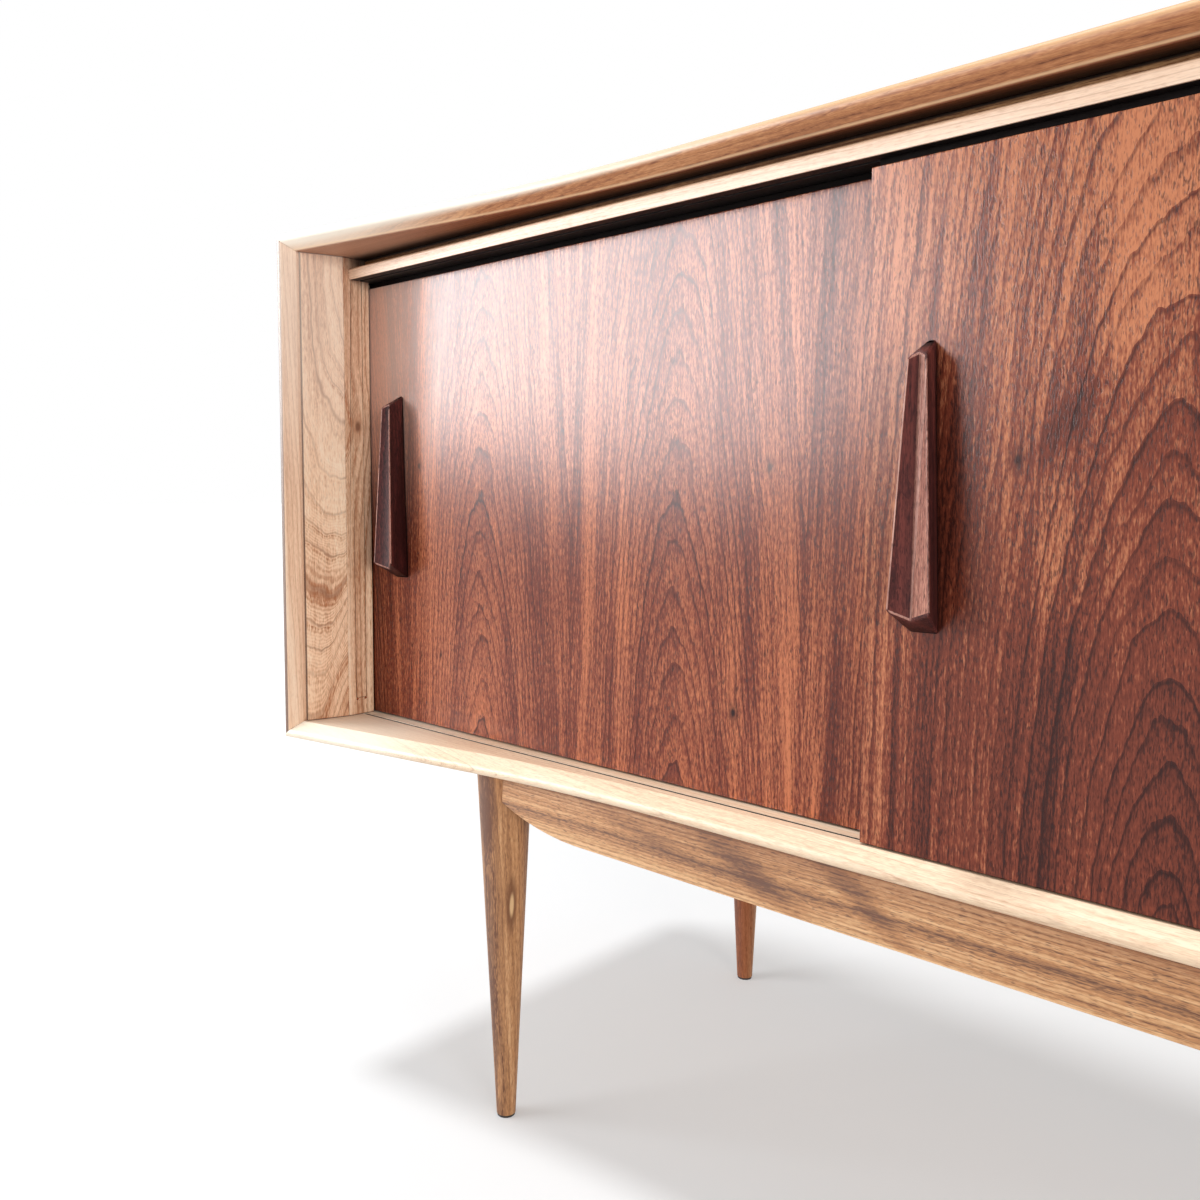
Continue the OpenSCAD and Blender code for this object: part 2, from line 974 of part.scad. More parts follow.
module centre_door() {
    door(-centre_door_w / 2, centre_door_w, y_centre, [-centre_handle_x, centre_handle_x]);
}

module centre_door_tongue() {
    door_tongue(-centre_door_w / 2, centre_door_w, y_centre);
}

module centre_door_glides() {
    door_glides(-centre_door_w / 2, centre_door_w, y_centre);
}

module centre_left_handle() {
    handle(-centre_handle_x, y_centre, 1);
}

module centre_right_handle() {
    handle(centre_handle_x, y_centre, -1);
}

module centre_handle_screws() {
    handle_screws([-centre_handle_x, centre_handle_x], y_centre);
}

module right_door() {
    door(right_door_x, side_door_w, y_side, [side_handle_x]);
}

module right_door_tongue() {
    door_tongue(right_door_x, side_door_w, y_side);
}

module right_door_glides() {
    door_glides(right_door_x, side_door_w, y_side);
}

module right_handle() {
    handle(side_handle_x, y_side, -1);
}

module right_handle_screws() {
    handle_screws([side_handle_x], y_side);
}

top_front_member();
bottom_front_member();
left_front_stile();
right_front_stile();
top_panel();
bottom_panel();
left_side_panel();
right_side_panel();
back_panel();
left_splay();
right_splay();
left_jamb();
right_jamb();
jamb_pins();
upper_track();
track_packer();
left_divider();
right_divider();
left_shelf();
centre_shelf();
right_shelf();
shelf_pins();
back_screws();
front_left_leg();
front_right_leg();
rear_left_leg();
rear_right_leg();
foot_glides();
front_apron();
rear_apron();
left_stretcher();
right_stretcher();
frame_cleats();
cleat_screws();
left_door();
left_door_tongue();
left_door_glides();
left_handle();
left_handle_screws();
centre_door();
centre_door_tongue();
centre_door_glides();
centre_left_handle();
centre_right_handle();
centre_handle_screws();
right_door();
right_door_tongue();
right_door_glides();
right_handle();
right_handle_screws();
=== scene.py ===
import math

import bmesh
import bpy
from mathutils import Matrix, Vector


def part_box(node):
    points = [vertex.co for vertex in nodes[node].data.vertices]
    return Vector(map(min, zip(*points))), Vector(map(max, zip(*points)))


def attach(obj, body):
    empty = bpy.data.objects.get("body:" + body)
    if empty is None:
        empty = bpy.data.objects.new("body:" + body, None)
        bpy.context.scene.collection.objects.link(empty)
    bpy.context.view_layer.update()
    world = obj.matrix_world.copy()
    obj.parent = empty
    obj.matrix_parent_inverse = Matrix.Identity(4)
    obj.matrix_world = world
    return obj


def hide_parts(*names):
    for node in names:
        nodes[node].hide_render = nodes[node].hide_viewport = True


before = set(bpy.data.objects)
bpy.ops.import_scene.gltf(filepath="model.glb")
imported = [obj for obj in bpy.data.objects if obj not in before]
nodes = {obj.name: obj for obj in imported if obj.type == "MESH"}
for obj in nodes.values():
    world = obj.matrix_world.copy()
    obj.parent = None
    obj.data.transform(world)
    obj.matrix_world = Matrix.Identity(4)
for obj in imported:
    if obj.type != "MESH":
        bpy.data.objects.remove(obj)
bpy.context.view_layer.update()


# ---- node building ----

class Graph:
    """Short calls for building the nodes of one material or world."""

    def __init__(self, owner):
        owner.use_nodes = True
        self.tree = owner.node_tree
        self.tree.nodes.clear()

    def node(self, kind, inputs=None, **settings):
        n = self.tree.nodes.new(kind)
        for key, value in settings.items():
            setattr(n, key, value)
        for key, value in (inputs or {}).items():
            self.put(n.inputs[key], value)
        return n

    def put(self, socket, value):
        if isinstance(value, bpy.types.NodeSocket):
            self.tree.links.new(value, socket)
        else:
            socket.default_value = value

    def end(self, shader, kind="ShaderNodeOutputMaterial"):
        self.tree.links.new(shader.outputs[0], self.node(kind).inputs[0])

    def math(self, op, a, b=0.0):
        n = self.node("ShaderNodeMath", operation=op)
        self.put(n.inputs[0], a)
        self.put(n.inputs[1], b)
        return n.outputs[0]

    def add(self, a, b):
        return self.math("ADD", a, b)

    def sub(self, a, b):
        return self.math("SUBTRACT", a, b)

    def mul(self, a, b):
        return self.math("MULTIPLY", a, b)

    def abs(self, a):
        return self.math("ABSOLUTE", a)

    def hypot(self, a, b):
        return self.math("SQRT", self.add(self.mul(a, a), self.mul(b, b)))

    def wrap(self, value, high, low):
        n = self.node("ShaderNodeMath", operation="WRAP")
        for i, v in enumerate((value, high, low)):
            self.put(n.inputs[i], v)
        return n.outputs[0]

    def band(self, value, low, high, to_low=0.0, to_high=1.0, smooth=True):
        n = self.node("ShaderNodeMapRange", {"Value": value, "From Min": low, "From Max": high,
                                             "To Min": to_low, "To Max": to_high})
        n.interpolation_type = "SMOOTHSTEP" if smooth else "LINEAR"
        return n.outputs["Result"]

    def vector(self, x, y, z):
        return self.node("ShaderNodeCombineXYZ", {0: x, 1: y, 2: z}).outputs[0]

    def noise(self, vector, detail=2.0, rough=0.5, scale=1.0):
        n = self.node("ShaderNodeTexNoise", {"Vector": vector, "Scale": scale, "Detail": detail,
                                             "Roughness": rough}, noise_dimensions="3D")
        return n.outputs["Fac"]

    def mix(self, fac, a, b, blend="MIX"):
        n = self.node("ShaderNodeMix", data_type="RGBA", blend_type=blend, clamp_factor=True)
        self.put(n.inputs["Factor"], fac)
        self.put(n.inputs[6], a)
        self.put(n.inputs[7], b)
        return n.outputs[2]

    def tint(self, colour, tone, mask, strength=1.0, blend="MIX"):
        """The colour moved towards a tone where the mask is set."""
        return self.mix(mask if strength == 1.0 else self.mul(mask, strength), colour, tone, blend)

    def ramp(self, value, stops):
        n = self.node("ShaderNodeValToRGB", {"Fac": value})
        r = n.color_ramp
        while len(r.elements) > 1:
            r.elements.remove(r.elements[-1])
        r.elements[0].position, r.elements[0].color = stops[0]
        for place, colour in stops[1:]:
            r.elements.new(place).color = colour
        return n.outputs["Color"]


def srgb(r, g, b):
    """Display colour 0..255 as linear values."""
    def lin(v):
        v /= 255.0
        return v / 12.92 if v <= 0.04045 else ((v + 0.055) / 1.055) ** 2.4
    return (lin(r), lin(g), lin(b), 1.0)


def tones(*colours):
    """The light, middle and deep colour of a wood."""
    return tuple(srgb(*c) for c in colours)


# ---- wood ----

# How each species is figured. Lengths in metres, strengths 0 to 1.
WALNUT = dict(
    tones=tones((200, 120, 82), (124, 58, 42), (60, 26, 21)), line_colour=srgb(46, 20, 17),
    pore_colour=srgb(42, 18, 17), ring=0.0031, warp=0.020, sway=0.014, lean=0.0, jag=0.0034,
    line=0.95, line_width=0.085, line_spread=1.1, fade=0.25, shadow=0.24, early=0.0, ripple=0.0,
    streak=0.55, streak_size=125, stripe=0.50, hair=0.8, fibre=0.5, grit=1.2, pore=0.65,
    pore_size=(1350, 260), calm=0.25, cloud=0.6, heart=0.0, rough=(0.21, 0.29), bump=0.12,
    dirt=0.85, ior=1.3)
ELM = dict(
    tones=tones((252, 230, 202), (232, 196, 160), (172, 118, 82)), line_colour=srgb(134, 80, 52),
    pore_colour=srgb(130, 82, 54), ring=0.0040, warp=0.016, sway=0.014, lean=0.0, jag=0.0012,
    line=0.6, line_width=0.05, line_spread=0.8, fade=0.7, shadow=0.12, early=0.6, ripple=0.2,
    streak=0.35, streak_size=150, stripe=0.4, hair=0.5, fibre=0.5, grit=0.7, pore=0.35,
    pore_size=(1250, 170), calm=0.9, cloud=0.35, heart=0.0, rough=(0.46, 0.62), bump=0.2,
    dirt=0.85, ior=1.46)

# Places of the across, depth and along-the-grain coordinates in (x, y, z)
AXES = {"X": (2, 1, 0), "Xy": (1, 2, 0), "Y": (2, 0, 1), "Z": (0, 1, 2), "Zy": (1, 0, 2)}

# Noise fields: scales per metre across, through and along the grain, detail, roughness, offset
WARP = (9, 9, 2.2, 2.0, 0.5, 0.0)
SWAY = (10, 7, 3.2, 2.0, 0.5, 31.0)
JAG = (70, 60, 34, 2.5, 0.55, 11.0)
PATCH = (30, 30, 12, 2.0, 0.5, 5.0)
STRIPE = (48, 30, 0.8, 2.0, 0.55, 7.0)
HAIR = (430, 430, 5.0, 2.5, 0.6, 9.0)
FIBRE = (1250, 1250, 38, 2.5, 0.65, 13.0)
GRIT = (900, 900, 190, 2.0, 0.6, 21.0)
CLOUD = (8, 8, 5, 2.0, 0.5, 15.0)
SPECKLE = (900, 900, 160, 1.5, 0.6, 17.0)
PORE = (1.0, 0.5, 19.0)  # detail, roughness and offset only
STREAK_ALONG, STREAK_OFFSET = 1.1, 3.0
SEED_STEP = 7.31

# Rings
MIDDLE = 0.45                   # height that a leaning pith line turns about
TIP = 0.004                     # how blunt the tips of the arches are
WANDER, WANDER_SCALE = 2.6, 75  # uneven ring widths, in rings, and how fast they change
SOME = (0.4, 1.0)               # how strongly single rings show, least and most
PATCHES, PATCHY = (0.35, 0.6), (0.55, 1.0)  # noise levels that strengthen ring lines, and how far
RIPPLES = 6.7                   # wavy bands in each ring
RIPPLE_EDGE, RIPPLE_CLOUD, RIPPLED = (0.1, 0.4), (-0.1, 0.15), (0.3, 1.2)
OPEN, SPECKLED = 0.35, (0.35, 0.65)  # open start of a ring, and the noise levels of its speckle
# Distances from the middle of the arches
FADE = (0.045, 0.095)           # over which ring lines fade
CALM = (0.012, 0.065)           # over which streaks come up
CORE = (0.010, 0.055)           # over which the lighter core ends
CALM_HAIR = 0.35                # what calm leaves of the hairs
# Shade: 0 is the light tone, 1 the deep one
PLAIN, EACH = 0.38, 0.12        # without figure, and how much it differs from ring to ring
STREAKS, STRIPES = 2, 1.6       # gains on two of the strengths
MIDDLE_TONE = 0.45              # where the middle tone stands
STAIN_FADE, STAIN_RAGGED = (0.2, 1.1), 1.2
# Pores: noise level at which they start, their soft edge, how they gather in dark stripes
PORE_START, PORE_EDGE, PORE_GATHER = 0.54, 0.15, 0.25
# Knots, in knot sizes: how far rings are pushed aside and how wide, the dark ring, the heart
KNOT_LIFT, KNOT_REACH, KNOT_RING, KNOT_HEART = 1.1, 6, (0.7, 2.6), 0.3
KNOT_BEND, KNOT_EYE = 0.4, 0.6  # how long they are drawn along the grain, in rings and colour
KNOT_RINGED, KNOT_RAGGED = 0.4, 0.9
# Surface: depth of the relief and the part of each feature, gloss by hairs and pores, painted shade in
# corners
RELIEF, FIBRE_RELIEF, PORE_RELIEF, LINE_RELIEF = 0.0003, 0.3, 0.8, 0.3
HAIR_GLOSS, PORE_GLOSS = (-0.3, 0.7), 0.4
CORNER_SHADE_REACH, CORNER_SHADE_LEVELS = 0.0035, (0.3, 0.84)


def wood(name, kind, grain, seed, pith=(0.0, 0.1), slope=0.08, peak=0.0, leaf=None, knots=(),
         stains_and_painted_light=(), dark=None, **changes):
    """Solid wood or veneer. The rings run round a pith line that lies beside the piece and leans
    towards it, which gives arches on flat-sawn faces and straight lines on quarter-sawn ones.
    pith: its across place and depth. peak: how pointed the arches are. leaf: centre of the first
    veneer leaf and the leaf width. knots: (across, along, size, darkness).
    stains_and_painted_light: stain patches, and on the doors also patches of painted light and
    shade, as (across, along, half width, half length, lean, darkness); a negative darkness
    lightens. dark: a node maker that lays painted light and shade and other marks on by place.
    """
    k = dict(kind, **changes)
    mat = bpy.data.materials.new(name)
    g = Graph(mat)
    coords = g.node("ShaderNodeTexCoord").outputs["Object"]
    sep = g.node("ShaderNodeSeparateXYZ", {0: coords})
    across, depth, along = (sep.outputs[i] for i in AXES[grain])
    if leaf:
        a = g.wrap(g.sub(across, leaf[0]), leaf[1] / 2, -leaf[1] / 2)
    else:
        a = g.sub(across, pith[0])
    shift = seed * SEED_STEP

    def field(base, spec):
        fa, fd, fw, detail, rough, move = spec
        place = g.vector(g.mul(base, fa), g.mul(depth, fd), g.add(g.mul(along, fw), shift + move))
        return g.noise(place, detail, rough)

    def swing(base, spec):
        """The same about zero."""
        return g.sub(field(base, spec), 0.5)

    def near(kx, kw, stretch):
        return g.hypot(g.sub(across, kx), g.mul(g.sub(along, kw), stretch))

    # place within the log, bent by slow noise and pushed aside by knots
    if k["lean"]:
        a = g.sub(a, g.mul(g.sub(along, MIDDLE), k["lean"]))
    a = g.add(a, g.mul(swing(a, WARP), k["warp"]))
    height = g.add(g.add(g.mul(along, slope), depth), pith[1])
    height = g.add(height, g.mul(swing(a, SWAY), k["sway"]))
    for kx, kw, size, _ in knots:
        push = g.band(near(kx, kw, KNOT_BEND), 0.0, size * KNOT_REACH, size * KNOT_LIFT, 0.0)
        height = g.add(height, push)
    from_pith = g.abs(a)
    width = g.math("SQRT", g.add(g.mul(a, a), TIP ** 2))
    r = g.add(g.hypot(a, height), g.mul(width, peak))
    r = g.add(r, g.mul(swing(a, JAG), k["jag"]))
    wander = g.mul(g.noise(g.vector(g.mul(r, WANDER_SCALE), 0.0, shift), 1.0), WANDER)
    rings = g.add(g.math("DIVIDE", r, k["ring"]), wander)
    t = g.math("FRACT", rings)
    each = g.node("ShaderNodeTexWhiteNoise", {"W": g.math("FLOOR", rings)},
                  noise_dimensions="1D").outputs["Value"]
    some = g.band(each, 0.0, 1.0, *SOME)

    # thin dark line at the end of each ring
    line_w = g.add(g.mul(width, k["line_spread"]), k["line_width"])
    from_line = g.abs(g.sub(g.add(t, line_w), 1.0))
    line = g.mul(g.band(g.math("DIVIDE", from_line, line_w), 0.0, 1.0, 1.0, 0.0), some)
    line = g.mul(line, g.band(field(across, PATCH), *PATCHES, *PATCHY))
    line = g.mul(line, g.band(from_pith, *FADE, 1.0, k["fade"]))

    # stripes that follow the rings, stripes along the grain, then hairs and fibres
    calm = g.band(from_pith, *CALM, k["calm"], 1.0)
    place = g.vector(g.mul(r, k["streak_size"]), g.mul(along, STREAK_ALONG), shift + STREAK_OFFSET)
    streak = g.mul(g.sub(g.noise(place), 0.5), calm)
    stripe = swing(across, STRIPE)
    hair = g.mul(swing(across, HAIR), g.band(calm, 0.0, 1.0, CALM_HAIR, 1.0, False))
    fibre = swing(across, FIBRE)
    grit = swing(across, GRIT)
    cloud = swing(across, CLOUD)
    shade = g.add(g.mul(g.math("POWER", t, 3.0), k["shadow"]),
                  g.add(g.mul(g.sub(each, 0.5), EACH), PLAIN))
    shade = g.sub(shade, g.mul(g.band(from_pith, *CORE, 1.0, 0.0), k["heart"]))
    for part, strength in ((streak, k["streak"] * STREAKS),
                           (g.mul(stripe, calm), k["stripe"] * STRIPES),
                           (hair, k["hair"]), (fibre, k["fibre"]), (grit, k["grit"]),
                           (cloud, k["cloud"])):
        shade = g.add(shade, g.mul(part, strength))
    if k["early"]:
        # open, speckled wood at the start of a ring
        early = g.mul(g.band(t, 0.0, OPEN, 1.0, 0.0), some)
        speckle = g.band(field(across, SPECKLE), *SPECKLED, 0.0, k["early"], False)
        shade = g.add(shade, g.mul(early, speckle))
    if k["ripple"]:
        # fine wavy bands between the ring lines
        fine = g.math("FRACT", g.mul(rings, RIPPLES))
        fine = g.mul(g.band(g.abs(g.sub(fine, 0.5)), *RIPPLE_EDGE, 1.0, 0.0), k["ripple"])
        shade = g.add(shade, g.mul(fine, g.band(cloud, *RIPPLE_CLOUD, *RIPPLED)))
    # stain patches, and on the doors patches of painted light, painted shade and a painted shadow
    for kx, kw, half_a, half_w, lean, amount in stains_and_painted_light:
        sideways = g.sub(g.sub(across, kx), g.mul(g.sub(along, kw), lean))
        far = g.hypot(g.math("DIVIDE", sideways, half_a), g.math("DIVIDE", g.sub(along, kw), half_w))
        far = g.add(far, g.mul(stripe, STAIN_RAGGED))
        shade = g.add(shade, g.band(far, *STAIN_FADE, amount, 0.0))
    light, middle, deep = k["tones"]
    colour = g.ramp(shade, [(0.0, light), (MIDDLE_TONE, middle), (1.0, deep)])
    colour = g.tint(colour, k["line_colour"], line, k["line"])

    # pores: short dark dashes along the grain, thicker in the darker stripes
    pore_across, pore_along = k["pore_size"]
    dash = field(across, (pore_across, pore_across, pore_along) + PORE)
    start = g.sub(PORE_START, g.mul(g.add(streak, stripe), PORE_GATHER))
    pore = g.band(dash, start, g.add(start, PORE_EDGE))
    colour = g.tint(colour, k["pore_colour"], pore, k["pore"])
    for kx, kw, size, amount in knots:
        far = g.add(near(kx, kw, KNOT_EYE), g.mul(hair, size * KNOT_RAGGED))
        ring = g.band(far, size * KNOT_RING[0], size * KNOT_RING[1], KNOT_RINGED * amount, 0.0)
        colour = g.tint(colour, deep, ring)
        heart = g.band(far, size * KNOT_HEART, size, amount, 0.0)
        colour = g.tint(colour, k["pore_colour"], heart)
    # painted shade: darker in the corners and joints, by how closed in each point is
    openness = g.node("ShaderNodeAmbientOcclusion", {"Distance": CORNER_SHADE_REACH}, samples=4).outputs["AO"]
    colour = g.tint(colour, k["line_colour"], g.band(openness, *CORNER_SHADE_LEVELS, k["dirt"], 0.0))
    if dark:
        colour = dark(g, sep.outputs, colour)

    hollows = g.add(g.mul(pore, PORE_RELIEF), g.mul(line, LINE_RELIEF))
    level = g.sub(g.mul(fibre, FIBRE_RELIEF), hollows)
    normal = g.node("ShaderNodeBump", {"Strength": k["bump"], "Distance": RELIEF, "Height": level})
    gloss = g.band(g.add(g.mul(pore, PORE_GLOSS), hair), *HAIR_GLOSS, *k["rough"])
    g.end(g.node("ShaderNodeBsdfPrincipled", {
        "Base Color": colour, "Roughness": gloss, "Normal": normal.outputs[0], "IOR": k["ior"]}))
    return mat


# Metal and plastic: grain per metre, how much coarser the patches are, depth and strength of the
# pitting, spread of colour, noise levels of the patches and the change in roughness over them
GRAINY, COARSER = 900.0, 12
PITTING, PITTED = 0.00005, 0.3
SPREAD = 0.12
DULLER, DULL = (0.3, 0.7), (-0.06, 0.08)


def simple(name, colour, rough, metal=0.0):
    """Metal or plastic with fine speckle in colour, gloss and height."""
    mat = bpy.data.materials.new(name)
    g = Graph(mat)
    coords = g.node("ShaderNodeTexCoord").outputs["Object"]
    fine = g.noise(coords, 3.0, 0.6, GRAINY)
    coarse = g.noise(coords, 2.0, 0.5, GRAINY / COARSER)
    low = tuple(c * (1 - SPREAD) for c in colour[:3]) + (1.0,)
    high = tuple(min(1.0, c * (1 + SPREAD)) for c in colour[:3]) + (1.0,)
    speckled = g.mix(g.add(g.mul(fine, 0.5), g.mul(coarse, 0.5)), low, high)
    gloss = g.band(coarse, *DULLER, *(rough + d for d in DULL))
    normal = g.node("ShaderNodeBump", {"Strength": PITTED, "Distance": PITTING, "Height": fine})
    g.end(g.node("ShaderNodeBsdfPrincipled", {
        "Base Color": speckled, "Roughness": gloss, "Normal": normal.outputs[0],
        "Metallic": metal}))
    return mat


# ---- shading of single pieces ----
# Each maker takes the graph, the (x, y, z) sockets and the wood's colour, and returns a colour
# # with painted light and shade laid on by place, and in some also real marks.
# Pairs are the two ends of a blend: places in metres, or, with at(), metres from an edge.

TRACK_LOW, TRACK_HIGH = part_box("upper_track")
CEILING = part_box("track_packer")[1][2]
PACKER_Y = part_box("track_packer")[0][1]
FLOOR_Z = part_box("bottom_front_member")[1][2]
TOP_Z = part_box("top_front_member")[1][2]
DOOR_TONGUES = ("centre_door_tongue", "left_door_tongue")
GROOVE_Y = [sum(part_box(n)[i][1] for i in (0, 1)) / 2 for n in DOOR_TONGUES]


def at(edge, offsets):
    return [edge + o for o in offsets]


NOSING = (0.0008, 0.0016)
TRACK_TOP, TRACK_ARRIS = (-0.006, -0.004), (-0.0018, -0.0006)
# painted shade: black for the faces behind the nosing; the arris tone is golden-brown
TRACK_BLACK, ARRIS_GOLD = srgb(16, 10, 9), srgb(150, 104, 66)


def track_shade(g, place, colour):
    """Painted shade: the faces of the track behind its front nosing are black. Its round arris is
    golden-brown.
    """
    behind = g.band(place[1], *at(TRACK_LOW[1], NOSING))
    below = g.band(place[2], *at(TRACK_HIGH[2], TRACK_TOP), 1.0, 0.0)
    arris = g.band(place[2], *at(TRACK_HIGH[2], TRACK_ARRIS))
    colour = g.tint(colour, ARRIS_GOLD, arris, strength=0.75)
    # painted shade: black behind the nosing and below the top of the track
    return g.tint(colour, TRACK_BLACK, g.mul(behind, below))


# Top member: painted light at the left end and on the round rim, painted shade on the right part, on
# the inner face and in the recess
LEFT_END, RIGHT_PART = (-0.76, -0.58), (-0.40, 0.0)
LEFT_PALE, RIGHT_DARK = srgb(255, 238, 216), srgb(232, 212, 196)
ROOF_FACE, ROOF_LIFT, ROOF_PALE = (-0.0007, -0.0002), (1.4, 2.2, 3.3, 1.0), srgb(244, 208, 172)
RIM_RUN, RIM_FOOT, RIM_SOFT = (-0.80, -0.30), (0.002, 0.0088), 0.0045
RIM_TURN, RIM_PALE, RIM_GOLD = (-0.65, -0.25), srgb(255, 246, 230), srgb(230, 186, 136)
INNER_FACE, INNER_RED = (0.0002, 0.0010), srgb(172, 120, 92)
INNER_EDGE, EDGE_PALE = (0.0022, 0.0012), srgb(246, 212, 168)
RECESS, RECESS_BLACK = (-0.022, -0.003), srgb(18, 11, 9)


def top_shade(g, place, colour):
    """The top member is a shaded brown copy of the elm, its top face lifted back to gold. Painted
    light makes its left end and its round rim pale; painted shade darkens its right part and
    makes its inner face red-brown, going black towards the recess over the track."""
    x, y, z = place[0], place[1], place[2]
    # painted light at the left end, painted shade towards the right
    colour = g.tint(colour, LEFT_PALE, g.band(x, *LEFT_END, 0.75, 0.0))
    colour = g.tint(colour, RIGHT_DARK, g.band(x, *RIGHT_PART, 0.0, 0.7), blend="MULTIPLY")
    # the top face is lifted back out of the painted shade of the brown copy
    roof = g.band(z, *at(TOP_Z, ROOF_FACE))
    colour = g.tint(colour, ROOF_LIFT, roof, blend="MULTIPLY")
    colour = g.tint(colour, ROOF_PALE, roof, strength=0.35)
    # painted highlight: the pale rim starts higher up the round further along
    foot = g.band(x, *RIM_RUN, *at(CEILING, RIM_FOOT), False)
    pale = g.mul(g.band(g.sub(z, foot), 0.0, RIM_SOFT), g.sub(1.0, roof))
    rim = g.mix(g.band(x, *RIM_TURN), RIM_PALE, RIM_GOLD)
    colour = g.tint(colour, rim, pale, strength=0.85)
    # painted shade: red-brown on the inner face, black towards the recess; a paler line along the
    # lower arris
    inner = g.band(z, *at(CEILING, INNER_FACE), 1.0, 0.0)
    edge = g.mul(g.band(z, *at(CEILING, INNER_EDGE)), g.sub(1.0, inner))
    colour = g.tint(colour, EDGE_PALE, edge, strength=0.5)
    colour = g.tint(colour, INNER_RED, inner, strength=0.8, blend="MULTIPLY")
    rear = g.mul(inner, g.band(y, *at(PACKER_Y, RECESS)))
    return g.tint(colour, RECESS_BLACK, rear, strength=0.96)


PACKER_TOP = (-0.0022, -0.0008)


def packer_shade(g, place, colour):
    """Painted shade: the packer over the track goes black under the top."""
    upper = g.band(place[2], *at(CEILING, PACKER_TOP))
    return g.tint(colour, RECESS_BLACK, upper, strength=0.95)


# painted light at the outer ends of the bottom member, painted shade inside the lower door grooves
OUTER_ENDS, ENDS_PALE = (0.62, 0.74), srgb(255, 244, 224)
GROOVE_TOP, GROOVE_HALF, GROOVE_BLACK = (-0.0005, -0.0002), (0.0018, 0.0022), srgb(30, 18, 14)


def groove_shade(g, place, colour):
    """Painted light makes the bottom member pale at its outer ends; painted shade makes the insides of
    the lower door grooves black.
    """
    # painted light: paler at the outer ends
    colour = g.tint(colour, ENDS_PALE, g.band(g.abs(place[0]), *OUTER_ENDS, 0.0, 0.7))
    # painted shade: black inside the lower door grooves
    below = g.band(place[2], *at(FLOOR_Z, GROOVE_TOP), 1.0, 0.0)
    for y in GROOVE_Y:
        inside = g.band(g.abs(g.sub(place[1], y)), *GROOVE_HALF, 1.0, 0.0)
        colour = g.tint(colour, GROOVE_BLACK, g.mul(below, inside))
    return colour


JOINT = 0.0009
GLUE = srgb(74, 40, 26)
SIDE_FACE = (0.8240, 0.8247)
# painted light: paler towards the top; painted shade in the upper corner behind the track
UPPER_LIGHT_Z, UPPER_LIGHT = (0.48, 0.70), srgb(255, 242, 230)
SHADOW_DOWN, SHADOW_Y, SHADOW_BLACK = 0.030, (-0.175, -0.15), srgb(34, 20, 16)


def jointed(node, front=True, upper_light=0.35):
    """Thin dark glue lines along the ends of a strip and, if asked for, its front edge. Painted light
    makes the strip paler towards the top; painted shade darkens its upper corner behind the track."""
    low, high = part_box(node)

    def shade(g, place, colour):
        foot = g.band(place[2], low[2] + JOINT / 2, low[2] + JOINT, 1.0, 0.0)
        head = g.band(place[2], high[2] - JOINT, high[2] - JOINT / 2)
        line = g.math("MAXIMUM", foot, head)
        if front:
            edge = g.band(place[1], low[1] + JOINT / 2, low[1] + JOINT, 1.0, 0.0)
            line = g.math("MAXIMUM", line, edge)
        colour = g.tint(colour, GLUE, line, strength=0.85)
        # neither reaches the outer faces of the case
        shown = g.band(g.abs(place[0]), *SIDE_FACE, 1.0, 0.0)
        # painted light: paler towards the top
        pale = g.band(place[2], *UPPER_LIGHT_Z, 0.0, upper_light)
        colour = g.tint(colour, UPPER_LIGHT, g.mul(pale, shown))
        # painted shade in the upper corner behind the track
        shadow_mask = g.mul(g.band(place[2], high[2] - SHADOW_DOWN, high[2]), g.band(place[1], *SHADOW_Y))
        return g.tint(colour, SHADOW_BLACK, g.mul(shadow_mask, shown), strength=0.9)
    return shade


EYE, EYE_HALF = (-0.1555, 0.187), (0.0022, 0.013)  # (y, z)
EYE_SIDE = ((-0.600, -0.594), (-0.56, -0.55))
EYE_OUTER, EYE_INNER = (1.1, 2.4), (0.4, 1.0)  # in half sizes of the eye
EYE_DARK, EYE_PALE = srgb(112, 68, 40), srgb(228, 188, 140)
REAR_FRONTS, REAR_SHADE = ((-0.05, 0.0), (0.190, 0.210)), srgb(206, 162, 140)


def leg_shade(g, place, colour):
    """A long eye on the inner side of the left front leg, and painted shade on the fronts of the
    back legs."""
    x, y, z = place[0], place[1], place[2]
    far = g.hypot(g.math("DIVIDE", g.sub(y, EYE[0]), EYE_HALF[0]),
                  g.math("DIVIDE", g.sub(z, EYE[1]), EYE_HALF[1]))
    side = g.mul(g.band(x, *EYE_SIDE[0]), g.band(x, *EYE_SIDE[1], 1.0, 0.0))
    colour = g.tint(colour, EYE_DARK, g.mul(side, g.band(far, *EYE_OUTER, 0.8, 0.0)))
    colour = g.tint(colour, EYE_PALE, g.mul(side, g.band(far, *EYE_INNER, 0.85, 0.0)))
    # painted shade on the fronts of the back legs
    rear = g.mul(g.band(y, *REAR_FRONTS[0]), g.band(y, *REAR_FRONTS[1], 1.0, 0.0))
    return g.tint(colour, REAR_SHADE, rear, blend="MULTIPLY")


APRON_UPPER, APRON_SHADE = (0.284, 0.301), srgb(150, 104, 76)


def apron_shade(g, place, colour):
    """Painted shade: the apron is darker close under the case."""
    return g.tint(colour, APRON_SHADE, g.band(place[2], *APRON_UPPER, 0.0, 0.6), blend="MULTIPLY")


SHEEN_X, SHEEN_Z, DOOR_SHEEN = (0.66, 0.785), (0.46, 0.66), srgb(236, 204, 188)
JAMB_SHADE_X, JAMB_SHADE_Z, DOOR_JAMB_SHADE = (0.765, 0.797), (0.40, 0.56), srgb(150, 108, 108)


